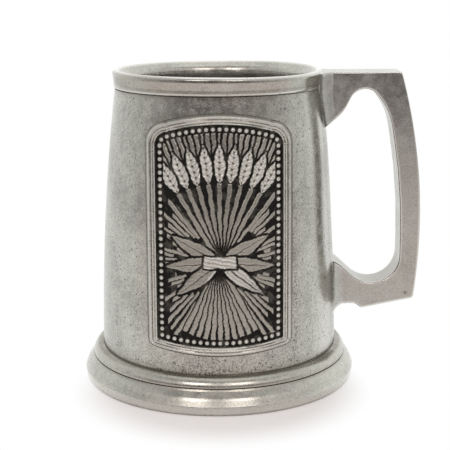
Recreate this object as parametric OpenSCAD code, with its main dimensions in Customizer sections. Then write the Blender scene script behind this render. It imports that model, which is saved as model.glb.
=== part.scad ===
// Pewter pint tankard without a lid: a bowed drum on a moulded foot, with a rim band,
// a flat-sided loop handle and a cast plaque on the front, all soldered together.
// Frame: origin on the drum's axis at table level, +Z up. The plaque faces -Y, the handle points to +X.

/* [Overall] */
// Height from the table to the crest of the lip
mug_h = 127; // [118:0.5:138]
// Solder gap between neighbouring pieces
solder_gap = 0.1; // [0.05:0.01:0.2]

/* [Drum] */
// Outside radius of the drum where its wall stands upright
drum_r = 48.7; // [46:0.1:52]
// Radius of the gentle bow of the drum's wall, seen from the side
drum_bow = 900; // [750:10:1400]
// Height at which the drum's wall stands upright
drum_belly_z = 5; // [0:0.5:12]
// Thickness of the drum's wall
drum_wall = 2; // [1.7:0.1:2.5]
// Thickness of the disc that closes the drum's lower end
floor_t = 3; // [2:0.1:4]

/* [Rim band] */
// Height of the band round the mouth
rim_h = 7.7; // [6.5:0.1:9]
// How far the band's lower edge stands out from the drum
rim_proud = 0.5; // [0.3:0.05:1]
// How much wider the band is at the lip than at its lower edge
rim_flare = 0.3; // [0:0.05:0.8]
// Rounding of the lip's outer edge
lip_round = 1.5; // [1:0.1:1.9]
// How far the lip is rolled in past the drum's inside
lip_in = 1.8; // [0.5:0.1:2.5]
// Depth of the rebate under the band that takes the drum's upper end
rim_seat_h = 3.3; // [2.5:0.1:4]
// How far the drum's upper end is turned down to enter the rebate
rim_step = 0.9; // [0.6:0.05:1.1]

/* [Foot] */
// How far the foot ring spreads beyond the drum
foot_flare = 7.7; // [6.5:0.1:10]
// Height of the foot ring's top face
foot_h = 9.5; // [8.5:0.1:11]
// Height at which the foot ring is widest
foot_belly_z = 3; // [2:0.1:4]
// Height of the hollow under the foot
foot_recess_h = 3; // [2:0.1:3.5]
// Thickness of the web inside the foot that carries the drum and the floor
foot_web_t = 3; // [2:0.1:3.5]
// How far the web reaches in under the floor
foot_web_w = 4; // [2.5:0.1:6]
// How far the collar stands out from the drum
collar_out = 4.1; // [3.5:0.1:5]
// Height of the collar above the foot ring
collar_h = 4.3; // [3.5:0.1:4.8]

/* [Handle] */
// Thickness of the handle from side to side
handle_t = 14; // [11:0.5:17]
// How far the handle's top lies below the lip's crest
handle_drop = 1.4; // [1:0.1:2.4]
// How far the grip's back stands out from the drum's upright wall
grip_out = 34.1; // [31:0.1:40]
// Width of the grip from front to back
grip_w = 8.1; // [6.5:0.1:9.5]
// Radius of the bow of the grip's back
grip_bow = 225; // [180:5:300]
// Height at which the grip's back reaches furthest out
grip_belly_z = 62; // [55:1:70]
// How far the grip's front leans in towards the mouth
grip_lean = 10.3; // [8:0.1:12]
// Depth of the upper arm over the finger loop
upper_arm_h = 7.1; // [6:0.1:8.5]
// Height of the finger loop's lowest point
loop_z = 38.5; // [36:0.5:42]
// Radius of the finger loop's lower end
loop_low_r = 10.5; // [9:0.1:12]
// Radius of the finger loop's upper end
loop_top_r = 6.5; // [5:0.1:7.5]
// Depth of the lower arm under the finger loop
lower_arm_h = 10.9; // [9.5:0.1:12]
// Slope of the lower arm's underside
lower_arm_rise = 11.5; // [8:0.1:14]

/* [Handle roots] */
// How far the upper root's face stands out from the drum
upper_root_out = 5.5; // [5:0.1:7]
// How far the lower root's face stands out from the drum
lower_root_out = 8.9; // [8.5:0.1:10.5]
// Fillet between the upper root's sides and the drum
upper_fillet = 6; // [4.5:0.1:6.5]
// Fillet between the lower root's sides and the drum
lower_fillet = 4; // [3:0.1:5]
// How far the lower root's underside is stepped up from the arm
lower_root_step = 2; // [1.2:0.1:2.6]
// Thickness of the tenons at the handle's ends
tenon_t = 7; // [5:0.1:8.5]
// Length of the upper tenon
upper_tenon_l = 2.4; // [1.6:0.1:2.8]
// Height of the upper tenon
upper_tenon_h = 11; // [8:0.1:13]
// Length of the lower tenon
lower_tenon_l = 4.5; // [3:0.1:5.5]
// Height of the lower tenon
lower_tenon_h = 6.2; // [4.5:0.1:7]

/* [Plaque] */
// Width of the plaque
plaque_w = 56; // [48:0.5:62]
// Bare drum between the collar and the middle of the plaque's lower edge
plaque_foot_gap = 7.2; // [5:0.1:14]
// Bare drum between the rim band and the crown of the plaque
plaque_rim_gap = 5.7; // [4:0.1:12]
// How far the plaque's arched top drops to its shoulders
plaque_shoulder_drop = 6; // [4:0.1:9]
// Rounding of the plaque's shoulders
plaque_shoulder_r = 9; // [6:0.1:12]
// How far the plaque's lower edge rises to its corners
plaque_corner_rise = 2.8; // [1.5:0.1:5]
// Rounding of the plaque's lower corners
plaque_corner_r = 3.2; // [2.5:0.1:6]
// How far the plaque is turned round the drum towards the handle, in degrees
plaque_turn = 1; // [-3:0.1:3]
// Thickness of the plaque at its blackened ground
plaque_ground_t = 0.9; // [0.6:0.05:1.4]
// Height of the raised design over the ground
plaque_relief = 0.9; // [0.5:0.05:1.3]
// Width of the plaque's raised border
border_w = 2; // [1.4:0.1:3]
// Stalks in the corn sheaf, above and below its tie
sheaf_stalks = 9; // [5:2:11]
// Spread of the sheaf's ears to each side, in degrees
sheaf_spread = 31; // [20:1:34]
// Length of the stalks from the tie up to the ears
stalk_up = 31; // [24:0.5:33]
// Length of the stems from the tie down to their cut ends
stalk_down = 29; // [20:0.5:31]
// Length of an ear of corn
ear_l = 15; // [9:0.5:16]
// Width of an ear of corn
ear_w = 4.6; // [3:0.1:5]
// Length of the leaves that hang from the tie
leaf_l = 21; // [14:0.5:23]
// Width of a leaf
leaf_w = 5; // [3:0.1:6.5]

/* [Hidden] */
$fn = 240;
// Facets of the large bows, which only touch the finished solids over a few degrees
bow_fn = 1440;

pewter = [0.66, 0.65, 0.62];
worn_pewter = [0.70, 0.69, 0.66];
dark_pewter = [0.50, 0.49, 0.47];

// Radius of the drum's outside at height z
function drum_at(z) = drum_r - drum_bow + sqrt(drum_bow * drum_bow - pow(z - drum_belly_z, 2));
// Radius of an arc that is square to one axis at its first end and reaches across and along to the other
function sag_r(across, along) = (across * across + along * along) / (2 * across);

// Heights of the foot's pieces
seat_z = foot_recess_h + foot_web_t;
collar_z = foot_h + solder_gap;
collar_top = collar_z + collar_h;

// Rim band
rim_z = mug_h - rim_h;
rim_low_r = drum_at(rim_z) + rim_proud;
rim_lip_r = rim_low_r + rim_flare;
rim_seat_top = rim_z + rim_seat_h;
spigot_r = drum_at(rim_z) - rim_step;
mouth_r = drum_at(rim_seat_top) - drum_wall - lip_in;
// The mouth opens out in one arc from the lip's inner edge to its crest
crest_r = rim_lip_r - lip_round;
flare_z = rim_seat_top + solder_gap;
flare_r = sag_r(crest_r - mouth_r, mug_h - flare_z);

// Foot ring and collar
foot_r = drum_r + foot_flare;
// How far the foot ring's shoulder stands out from under the collar
shoulder_step = 0.5;
shoulder_r = drum_r + collar_out + shoulder_step;
foot_round = sag_r(foot_r - shoulder_r, foot_h - foot_belly_z);
collar_round = sag_r(collar_h, collar_out);

// Handle
handle_top = mug_h - handle_drop;
loop_top = handle_top - upper_arm_h;
grip_x = drum_r + grip_out;
grip_front_x = grip_x - grip_w;
arm_low_z = loop_z - lower_arm_h;
upper_ref_r = drum_at(loop_top);
lower_ref_r = drum_at(loop_z);
upper_face_x = upper_ref_r + upper_root_out;
lower_face_x = lower_ref_r + lower_root_out;
lower_root_z = arm_low_z + lower_root_step;
// Run of the slanting end of the lower arm, beside the root
arm_nose = 2.3;

// Finger loop: corners as [x, z, rounding], closed inside the drum
loop_bend_z = (loop_z + loop_top) / 2;
loop_low_corner_z = loop_z - loop_low_r * sqrt(2);
loop_shoulder_drop = 9.3;
loop_shoulder_z = loop_top - loop_shoulder_drop;
// The grip's front is bowed along this share of its upper half
loop_bend_share = 0.7;
loop_bend_r = loop_bend_share * (loop_shoulder_z - loop_bend_z) / tan(grip_lean / 2);
loop_shoulder_x = grip_front_x - (loop_shoulder_z - loop_bend_z) * tan(grip_lean);
loop_shoulder_r = 24;
loop_peak_x = upper_face_x + 11.1;
loop_peak_z = loop_top + loop_top_r;
loop_ogee_x = upper_face_x + 3.6;
loop_ogee_r = 15;
loop_inside_x = upper_ref_r - 4;
loop_corners = [
    [loop_inside_x, loop_low_corner_z + grip_front_x - loop_inside_x, 0],
    [grip_front_x, loop_low_corner_z, loop_low_r],
    [grip_front_x, loop_bend_z, loop_bend_r],
    [loop_shoulder_x, loop_shoulder_z, loop_shoulder_r],
    [loop_peak_x, loop_peak_z, loop_top_r],
    [loop_ogee_x, loop_shoulder_z, loop_ogee_r],
    [loop_inside_x, loop_shoulder_z - (loop_ogee_x - loop_inside_x) * 0.93, 0]
];
// Height of the loop's straight lower slope where it passes a given x
function loop_slope_z(x) = loop_low_corner_z + grip_front_x - x;

// Fillets over and under the lower root, and the reach of its outline above and below them
root_over_fillet = 3;
root_under_fillet = 4.2;
root_spare = 6;
seat_steps = 12;
lower_tenon_z = (lower_root_z + loop_slope_z(lower_face_x)) / 2;
upper_tenon_z = handle_top - 10;

// Plaque
plaque_z = collar_top + plaque_foot_gap;
plaque_top = rim_z - plaque_rim_gap;
plaque_half = plaque_w / 2;
plaque_crown_r = sag_r(plaque_shoulder_drop, plaque_half);
plaque_sole_r = sag_r(plaque_corner_rise, plaque_half);
// Smallest rounding that a casting pattern's inner corner has
sharpest_corner = 0.5;
sheaf_tie_z = plaque_z + 0.4 * (plaque_top - plaque_z);
stalk_w = 1.1;
tie_w = 12;
tie_h = 4.4;
// The stems below the tie spread less than the ears above it
stem_spread = 0.8;
// Angles of the leaves from upright, to each side
leaf_angles = [62, 96, 128];

// Points of a circular arc about c from angle a, turning through the angle turn
function arc(c, r, a, turn, n) = [for (i = [0 : n]) c + r * [cos(a + turn * i / n), sin(a + turn * i / n)]];

function unit(v) = v / norm(v);

// The corner q of an outline, between the points p and s, as an arc of radius r
function rounded_corner(p, q, s, r) =
    let (u = unit(p - q))
    let (v = unit(s - q))
    let (half = acos(u * v) / 2)
    let (start = q + u * r / tan(half))
    let (centre = q + unit(u + v) * r / sin(half))
    let (side = sign(u[0] * v[1] - u[1] * v[0]))
    let (from = atan2(start[1] - centre[1], start[0] - centre[0]))
    let (turn = -side * (180 - 2 * half))
    arc(centre, r, from, turn, max(4, ceil(abs(turn) / 5)));

// An outline whose corners [x, y, r] are rounded, each by its own radius
function rounded_outline(corners) = [
    for (i = [0 : len(corners) - 1])
        let (p = corners[(i + len(corners) - 1) % len(corners)])
        let (q = corners[i])
        let (s = corners[(i + 1) % len(corners)])
        let (flat = [q[0], q[1]])
        each q[2] == 0 ? [flat] : rounded_corner([p[0], p[1]], flat, [s[0], s[1]], q[2])
];

// Half section of everything inside the drum's outside, grown by out, between two heights
module drum_section(out, low, high) {
    intersection() {
        translate([drum_r - drum_bow, drum_belly_z]) circle(r = drum_bow + out, $fn = bow_fn);
        translate([0, low]) square([drum_r + foot_flare + out, high - low]);
    }
}

// The drum's outside as a solid core, grown by out
module drum_core(out, low, high) {
    rotate_extrude() drum_section(out, low, high);
}

// The seat that a handle root is filed to: the drum's outside and the solder gap, in short straight steps
module root_seat(low, high) {
    heights = [for (i = [0 : seat_steps]) low + (high - low) * i / seat_steps];
    rotate_extrude() polygon(concat(
        [[0, low]], [for (z = heights) [drum_at(z) + solder_gap, z]], [[0, high]]
    ));
}

module drum() {
    color(pewter) rotate_extrude() difference() {
        union() {
            drum_section(0, seat_z + solder_gap, rim_z);
            intersection() {
                drum_section(0, seat_z + solder_gap, rim_seat_top);
                square([spigot_r, rim_seat_top]);
            }
        }
        drum_section(-drum_wall, 0, mug_h);
    }
}

module rim_band() {
    lip_z = mug_h - lip_round;
    low_z = rim_z + solder_gap;
    seat_r = spigot_r + solder_gap;
    color(worn_pewter) rotate_extrude() difference() {
        intersection() {
            union() {
                polygon([
                    [mouth_r, low_z], [rim_low_r, low_z], [rim_lip_r, lip_z],
                    [crest_r, lip_z], [crest_r, mug_h], [mouth_r, mug_h]
                ]);
                translate([crest_r, lip_z]) circle(r = lip_round);
            }
            union() {
                translate([mouth_r + flare_r, flare_z]) circle(r = flare_r);
                translate([mouth_r, rim_z]) square([rim_lip_r, flare_z - rim_z]);
            }
        }
        square([seat_r, flare_z]);
    }
}

module floor_disc() {
    color(dark_pewter) translate([0, 0, seat_z + solder_gap])
        cylinder(r = drum_r - drum_wall - solder_gap, h = floor_t);
}

module foot_collar() {
    inner_r = drum_r + solder_gap;
    color(worn_pewter) rotate_extrude() intersection() {
        translate([drum_r, collar_top - collar_round]) circle(r = collar_round);
        translate([inner_r, collar_z]) square([collar_out + collar_round, collar_h]);
    }
}

module foot_ring() {
    web_r = drum_r - drum_wall - foot_web_w;
    socket_r = drum_r + solder_gap;
    color(pewter) rotate_extrude() difference() {
        intersection() {
            translate([foot_r - foot_round, foot_belly_z]) circle(r = foot_round);
            translate([web_r, 0]) square([foot_r, foot_h]);
        }
        square([drum_r, foot_recess_h]);
        translate([0, seat_z]) square([socket_r, foot_h]);
    }
    // The web runs on inwards from the ring's own section
    color(pewter) rotate_extrude() translate([web_r, foot_recess_h]) square([drum_r - web_r, foot_web_t]);
}

// Side view of the handle, with x to the right and z up
module handle_outline() {
    nose_x = lower_face_x + arm_nose;
    difference() {
        intersection() {
            translate([grip_x - grip_bow, grip_belly_z]) circle(r = grip_bow, $fn = bow_fn);
            polygon([
                [upper_face_x, handle_top],
                [grip_x, handle_top],
                [grip_x, arm_low_z + (grip_x - nose_x) * tan(lower_arm_rise)],
                [nose_x, arm_low_z],
                [lower_face_x, arm_low_z + lower_root_step],
                [lower_face_x, loop_bend_z],
                [upper_face_x, loop_bend_z]
            ]);
        }
        polygon(rounded_outline(loop_corners));
    }
}

// A tenon let into a root from its face, grown all round by out
module tenon(face_x, mid_z, length, height, out) {
    translate([face_x - length - out, -tenon_t / 2 - out, mid_z - height / 2 - out])
        cube([length + 2 * out + 1, tenon_t + 2 * out, height + 2 * out]);
}

module upper_tenon(out) {
    tenon(upper_face_x, upper_tenon_z, upper_tenon_l, upper_tenon_h, out);
}

module lower_tenon(out) {
    tenon(lower_face_x, lower_tenon_z, lower_tenon_l, lower_tenon_h, out);
}

module handle() {
    color(pewter) union() {
        translate([0, handle_t / 2, 0]) rotate([90, 0, 0]) linear_extrude(handle_t) handle_outline();
        upper_tenon(0);
        lower_tenon(0);
    }
}

// Plan of a root: the handle's width, spreading to the drum through a fillet on each side
module root_plan(ref_r, fillet, face_x) {
    half = handle_t / 2;
    fillet_x = sqrt(pow(ref_r + fillet, 2) - pow(half + fillet, 2));
    // Half width at which the fillets run out against the drum
    reach = (half + fillet) * ref_r / (ref_r + fillet);
    difference() {
        translate([0, -reach]) square([face_x - solder_gap, 2 * reach]);
        for (side = [-1, 1]) {
            translate([fillet_x, side * (half + fillet)]) circle(r = fillet);
            translate([fillet_x, side * (half + fillet / 2) - fillet / 2]) square([face_x, fillet]);
        }
    }
}

// Side section of the upper root, reaching inwards past the drum's surface
module upper_root_section() {
    difference() {
        translate([loop_inside_x, loop_bend_z]) square([grip_out, handle_top - loop_bend_z]);
        polygon(rounded_outline(loop_corners));
        translate([0, loop_bend_z]) square([upper_face_x, loop_corners[6][1] - loop_bend_z]);
    }
}

// Side section of the lower root, with a fillet above it and a cove below it
module lower_root_section() {
    slope_z = loop_slope_z(lower_ref_r);
    over_z = slope_z + root_spare;
    under_z = lower_root_z - root_spare;
    far_x = lower_face_x + root_spare;
    polygon(rounded_outline([
        [loop_inside_x, over_z, 0],
        [drum_at(over_z), over_z, 0],
        [drum_at(slope_z), slope_z, root_over_fillet],
        [far_x, loop_slope_z(far_x), 0],
        [far_x, lower_root_z, 0],
        [drum_at(lower_root_z), lower_root_z, root_under_fillet],
        [drum_at(under_z), under_z, 0],
        [loop_inside_x, under_z, 0]
    ]));
}

module upper_root() {
    color(pewter) difference() {
        intersection() {
            linear_extrude(handle_top) root_plan(upper_ref_r, upper_fillet, upper_face_x);
            rotate_extrude() upper_root_section();
        }
        root_seat(loop_bend_z, mug_h);
        translate([0, 0, rim_z]) cylinder(r = rim_lip_r + solder_gap, h = rim_h);
        upper_tenon(solder_gap);
    }
}

module lower_root() {
    color(pewter) difference() {
        intersection() {
            linear_extrude(loop_bend_z) root_plan(lower_ref_r, lower_fillet, lower_face_x);
            rotate_extrude() lower_root_section();
        }
        root_seat(0, loop_bend_z);
        lower_tenon(solder_gap);
    }
}

// A plate of half width half, with an arched top of radius crown about the origin and shoulders of radius r
module arched_plate(half, crown, r) {
    shoulder_x = half - r;
    shoulder_z = sqrt(pow(crown - r, 2) - pow(shoulder_x, 2));
    meet_x = shoulder_x * crown / (crown - r);
    intersection() {
        circle(r = crown, $fn = bow_fn);
        union() {
            translate([-meet_x, -crown]) square([2 * meet_x, 2 * crown]);
            translate([-half, -crown]) square([2 * half, crown + shoulder_z]);
            for (side = [-1, 1]) translate([side * shoulder_x, shoulder_z]) circle(r = r);
        }
    }
}

// Front view of the plaque, drawn in by inset all round
module plaque_outline(inset) {
    half = plaque_half - inset;
    shoulder = plaque_shoulder_r - inset;
    corner = max(plaque_corner_r - inset, sharpest_corner);
    intersection() {
        translate([0, plaque_top - plaque_crown_r])
            arched_plate(half, plaque_crown_r - inset, shoulder);
        translate([0, plaque_z + plaque_sole_r])
            mirror([0, 1]) arched_plate(half, plaque_sole_r - inset, corner);
    }
}

// Outline of a pointed blade standing on the origin, drawn up one side and down the other
function blade_points(length, width, n = 8) = [
    for (i = [0 : 2 * n - 1])
        let (up = i <= n ? i / n : 2 - i / n)
        let (side = i <= n ? 1 : -1)
        [side * width / 2 * sin(180 * pow(up, 0.8)), length * up]
];

// A sheaf of corn: stalks fanned above and below a tie, with an ear on each upper stalk and leaves at the sides
module sheaf() {
    last = sheaf_stalks - 1;
    translate([0, sheaf_tie_z]) {
        for (i = [0 : last]) {
            turn = sheaf_spread * (1 - 2 * i / last);
            rotate(turn) translate([-stalk_w / 2, 0]) square([stalk_w, stalk_up]);
            rotate(turn) translate([0, stalk_up - stalk_w]) polygon(blade_points(ear_l, ear_w));
            rotate(turn * stem_spread) translate([-stalk_w / 2, -stalk_down]) square([stalk_w, stalk_down]);
        }
        for (angle = leaf_angles) {
            rotate(angle) polygon(blade_points(leaf_l, leaf_w));
            rotate(-angle) polygon(blade_points(leaf_l, leaf_w));
        }
        translate([-tie_w / 2, -tie_h / 2]) square([tie_w, tie_h]);
    }
}

// Stands a front view upright on the drum's front, between two heights over the drum's solder gap
module on_drum_front(low, high) {
    intersection() {
        rotate([90, 0, plaque_turn]) linear_extrude(drum_r + foot_flare) children();
        difference() {
            drum_core(solder_gap + high, 0, rim_z);
            drum_core(solder_gap + low, -1, mug_h);
        }
    }
}

// A plate whose field is sunk to the ground all round the sheaf, inside the border
module front_plaque() {
    face = plaque_ground_t + plaque_relief;
    color(dark_pewter) difference() {
        on_drum_front(0, face) plaque_outline(0);
        on_drum_front(plaque_ground_t, face + plaque_relief) difference() {
            plaque_outline(border_w);
            sheaf();
        }
    }
}

drum();
rim_band();
floor_disc();
foot_collar();
foot_ring();
handle();
upper_root();
lower_root();
front_plaque();
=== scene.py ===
import math
import bpy
import numpy as np
from mathutils import Matrix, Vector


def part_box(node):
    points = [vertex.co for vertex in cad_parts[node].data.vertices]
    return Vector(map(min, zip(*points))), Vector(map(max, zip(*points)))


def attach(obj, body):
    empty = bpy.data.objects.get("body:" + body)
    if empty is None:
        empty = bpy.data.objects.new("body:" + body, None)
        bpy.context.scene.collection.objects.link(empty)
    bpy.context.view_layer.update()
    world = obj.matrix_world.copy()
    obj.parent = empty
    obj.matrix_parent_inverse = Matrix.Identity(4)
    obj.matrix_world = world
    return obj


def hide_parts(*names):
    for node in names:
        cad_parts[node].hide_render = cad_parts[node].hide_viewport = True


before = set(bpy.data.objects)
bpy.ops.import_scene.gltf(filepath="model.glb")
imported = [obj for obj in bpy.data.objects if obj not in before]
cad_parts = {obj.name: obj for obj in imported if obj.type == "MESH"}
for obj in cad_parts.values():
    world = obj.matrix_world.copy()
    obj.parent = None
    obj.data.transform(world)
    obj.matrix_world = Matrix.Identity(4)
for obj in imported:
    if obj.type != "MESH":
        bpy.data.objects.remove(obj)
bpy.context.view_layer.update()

# Lengths are in millimetres up to the moment a mesh is made
MM = 0.001


def node_box(node):
    """The lowest and highest corner of a CAD node, in millimetres."""
    low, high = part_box(node)
    return np.array(low) / MM, np.array(high) / MM


# Sizes taken from the CAD parts
DRUM_LOW, DRUM_HIGH = node_box("drum")
RIM_LOW, RIM_HIGH = node_box("rim_band")
FLOOR_LOW, FLOOR_HIGH = node_box("floor_disc")
COLLAR_LOW, COLLAR_HIGH = node_box("foot_collar")
FOOT_HIGH = node_box("foot_ring")[1]
HANDLE_LOW, HANDLE_HIGH = node_box("handle")
UPPER_HIGH = node_box("upper_root")[1]
LOWER_HIGH = node_box("lower_root")[1]
PLAQUE_LOW, PLAQUE_HIGH = node_box("front_plaque")

# The drum's bowed wall, the lip that its inside thickens to, and the gap that solder fills
DRUM_R = 48.7
DRUM_BOW = 900.0
DRUM_BELLY_Z = 5.0
DRUM_WALL = 2.0
RIM_Z = RIM_LOW[2]
RIM_R = RIM_HIGH[0]
MUG_TOP = RIM_HIGH[2]
LIP_ROUND = 1.5
LIP_IN = 1.8
LIP_IN_H = 45.0
LIP_EASE = 0.37
LIP_EASE_H = 2.6
SOLDER = 0.1


def drum_at(z):
    """Radius of the drum's outside at height z: a large arc that stands upright at the belly."""
    return DRUM_R - DRUM_BOW + np.sqrt(DRUM_BOW ** 2 - (z - DRUM_BELLY_Z) ** 2)


def smooth_step(low, high, value):
    """Rises from 0 at low to 1 at high along a smooth S."""
    t = np.clip((value - low) / (high - low), 0.0, 1.0)
    return t * t * (3.0 - 2.0 * t)


def bell(value, width=1.0):
    """1 at a value of 0, fading on both sides over about the width."""
    return np.exp(-(value / width) ** 2)


def axis_distance(points):
    """Distance of each point from the tankard's upright axis."""
    return np.hypot(points[..., 0], points[..., 1])


# Outlines


def rounded_path(corners, closed, step=0.4, arc_step=6.0):
    """An outline through corners [a, b, radius], each turned by an arc of its own radius.

    A corner's arc starts radius / tan(half the angle) before it and ends as far after it. Straight
    runs get a point about every step, and arcs one about every arc_step degrees.
    """
    spots = np.array([c[:2] for c in corners], float)
    radii = [c[2] if len(c) > 2 else 0.0 for c in corners]
    count = len(corners)
    pieces = []
    for i in range(count):
        here = spots[i]
        inner = closed or 0 < i < count - 1
        if radii[i] == 0.0 or not inner:
            pieces.append(here[None])
            continue
        back = spots[i - 1] - here
        ahead = spots[(i + 1) % count] - here
        back = back / np.hypot(*back)
        ahead = ahead / np.hypot(*ahead)
        half = math.acos(np.clip(back @ ahead, -1.0, 1.0)) / 2.0
        middle = back + ahead
        centre = here + middle / np.hypot(*middle) * radii[i] / math.sin(half)
        start = here + back * radii[i] / math.tan(half) - centre
        side = math.copysign(1.0, back[0] * ahead[1] - back[1] * ahead[0])
        turn = -side * (math.pi - 2.0 * half)
        parts = max(3, math.ceil(abs(math.degrees(turn)) / arc_step))
        angles = math.atan2(start[1], start[0]) + turn * np.linspace(0.0, 1.0, parts + 1)
        pieces.append(centre + radii[i] * np.stack([np.cos(angles), np.sin(angles)], -1))
    return filled(np.concatenate(pieces), closed, step)


def filled(path, closed, step):
    """The same outline with extra points along every run that is longer than step."""
    ends = np.roll(path, -1, 0) if closed else np.concatenate([path[1:], path[-1:]])
    lengths = np.hypot(*(ends - path).T)
    parts = np.maximum(1, np.round(lengths / step).astype(int))
    if not closed:
        parts[-1] = 1
    which = np.repeat(np.arange(len(path)), parts)
    share = np.arange(len(which)) - np.repeat(np.cumsum(parts) - parts, parts)
    share = share / parts[which]
    return path[which] * (1.0 - share[:, None]) + ends[which] * share[:, None]


def resampled(path, count):
    """The open outline with count points at even distances along it."""
    length = np.concatenate([[0.0], np.cumsum(np.hypot(*np.diff(path, axis=0).T))])
    even = np.linspace(0.0, length[-1], count)
    return np.stack([np.interp(even, length, path[:, k]) for k in (0, 1)], -1)


def softened(path, reach, step=0.2):
    """The open outline with worn corners: each point becomes the mean of those within reach of it."""
    length = np.hypot(*np.diff(path, axis=0).T).sum()
    even = resampled(path, max(8, int(length / step)))
    half = int(reach / step)
    window = np.hanning(2 * half + 3)[1:-1]
    window = window / window.sum()
    before = 2 * even[0] - even[half:0:-1]
    after = 2 * even[-1] - even[-2:-half - 2:-1]
    padded = np.concatenate([before, even, after])
    return np.stack([np.convolve(padded[:, k], window, "valid") for k in (0, 1)], -1)


# Meshes


def grid_quads(rows, cols, wrap_rows=False, wrap_cols=False, start=0):
    """Corner numbers of the cells of a grid of points, which may close on itself either way."""
    row = np.arange(rows if wrap_rows else rows - 1)[:, None]
    col = np.arange(cols if wrap_cols else cols - 1)[None, :]
    row_after = (row + 1) % rows
    col_after = (col + 1) % cols
    cells = [row * cols + col, row * cols + col_after, row_after * cols + col_after, row_after * cols + col]
    return start + np.stack([np.broadcast_to(c, (len(row), col.shape[1])) for c in cells], -1).reshape(-1, 4)


def volume_of(points, quads, tris):
    """Volume inside the faces, which is negative where they point inwards."""
    halves = np.concatenate([quads[:, [0, 1, 2]], quads[:, [0, 2, 3]], tris])
    a, b, c = points[halves[:, 0]], points[halves[:, 1]], points[halves[:, 2]]
    return (a * np.cross(b, c)).sum() / 6.0


def placed(name, data):
    """A new object in the scene that shows a mesh, a lamp's data or a camera's."""
    made = bpy.data.objects.new(name, data)
    bpy.context.scene.collection.objects.link(made)
    return made


def add_piece(name, points, quads, tris, material, slot, node, crease=50.0, **marks):
    """Makes a closed piece from its points in millimetres, and lets it stand for its CAD node.

    Edges stay sharp past the crease angle, in degrees. The marks give each point a value from 0 to 1, and
    a mark that is left out counts as 0.
    """
    points = points.reshape(-1, 3)
    tris = np.array(tris, int).reshape(-1, 3)
    if volume_of(points, quads, tris) < 0.0:
        quads = quads[:, ::-1]
        tris = tris[:, ::-1]
    mesh = bpy.data.meshes.new(name)
    mesh.vertices.add(len(points))
    mesh.vertices.foreach_set("co", (points * MM).astype(np.float32).ravel())
    corners = np.concatenate([quads.ravel(), tris.ravel()])
    sizes = np.concatenate([np.full(len(quads), 4), np.full(len(tris), 3)])
    mesh.loops.add(len(corners))
    mesh.loops.foreach_set("vertex_index", corners.astype(np.int32))
    mesh.polygons.add(len(sizes))
    mesh.polygons.foreach_set("loop_start", (np.cumsum(sizes) - sizes).astype(np.int32))
    mesh.polygons.foreach_set("use_smooth", np.ones(len(sizes), bool))
    for label, values in marks.items():
        layer = mesh.attributes.new(label, "FLOAT", "POINT")
        layer.data.foreach_set("value", np.clip(values, 0.0, 1.0).astype(np.float32).ravel())
    mesh.update(calc_edges=True)
    mesh.validate()
    mesh.set_sharp_from_angle(angle=math.radians(crease))
    mesh.materials.append(material)
    piece = placed(name, mesh)
    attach(piece, "root")
    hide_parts(node)


def turned_points(profile, sides, ripple=0.0):
    """A profile [r, z] carried round the Z axis, with a slow hand-made ripple in its radius.

    The ripple is the sum of three sines, of 3, 5 and 9 waves a turn, which shift with the height.
    """
    angle = np.linspace(0.0, 2.0 * math.pi, sides, endpoint=False)[None, :]
    z = np.repeat(profile[:, 1:2], sides, 1)
    waves = 0.5 * np.sin(3 * angle + 0.7 + z / 41.0) + 0.3 * np.sin(5 * angle - z / 23.0 + 2.1)
    waves = waves + 0.2 * np.sin(9 * angle + z / 12.0 + 4.0)
    radius = profile[:, 0:1] + ripple * waves
    return np.stack([radius * np.cos(angle), radius * np.sin(angle), z], -1)


def turned_ring(profile, sides, ripple=0.0):
    """Points and faces of a ring: a closed profile carried all the way round the axis."""
    points = turned_points(profile, sides, ripple)
    return points, grid_quads(len(profile), sides, True, True)


def capped(rings, ends):
    """Points and faces of a tube: rings of points joined in turn, closed by a fan to a point at each end."""
    count, around = rings.shape[:2]
    points = np.concatenate([rings.reshape(-1, 3), ends])
    here = np.arange(around)
    after = (here + 1) % around
    last = (count - 1) * around
    low = np.stack([np.full(around, count * around), after, here], -1)
    high = np.stack([np.full(around, count * around + 1), last + here, last + after], -1)
    return points, grid_quads(count, around, False, True), np.concatenate([low, high])


def turned_disc(profile, sides):
    """Points and faces of a disc: a profile from the axis, out and back to the axis, closed by two poles."""
    poles = np.array([[0.0, 0.0, profile[0, 1]], [0.0, 0.0, profile[-1, 1]]])
    return capped(turned_points(profile[1:-1], sides), poles)


# Marks and swellings that the turned pieces share

# Creases darkened by dirt and painted shade: radius, height, width, and whether that stops short of the
# handle
CREASES = [
    (DRUM_R, COLLAR_HIGH[2], 1.0, False),
    (COLLAR_HIGH[0], COLLAR_LOW[2], 0.4, False),
    (drum_at(RIM_Z) + SOLDER, RIM_Z - SOLDER, 0.5, True),
]
CREASE_CORE = 0.14
CREASE_HALO = 0.27
CREASE_HALO_SPREAD = 2.8
CREASE_BEARING = (25.0, 80.0)

# Where the drum's side runs into the handle's upper root, in height and in degrees from the handle
SWELL = 0.65
SWELL_RISE = (60.0, 99.0)
SWELL_FALL = (102.0, 118.0)
SWELL_BEARING = (18.0, 45.0)
STEP_IN = 0.55
STEP_H = 2.5
STEP_BEARING = (20.0, 55.0)
# Bearings of a painted shade on the drum beside the handle, and of a painted strip of reflection next to it
SHADE_BEARING = (22.0, 15.0)
SHEEN_FROM = (18.0, 24.0)
SHEEN_TO = (42.0, 30.0)


def handle_bearing(points):
    """Angle round the axis away from the handle, in degrees."""
    return np.abs(np.degrees(np.arctan2(points[..., 1], points[..., 0])))


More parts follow.
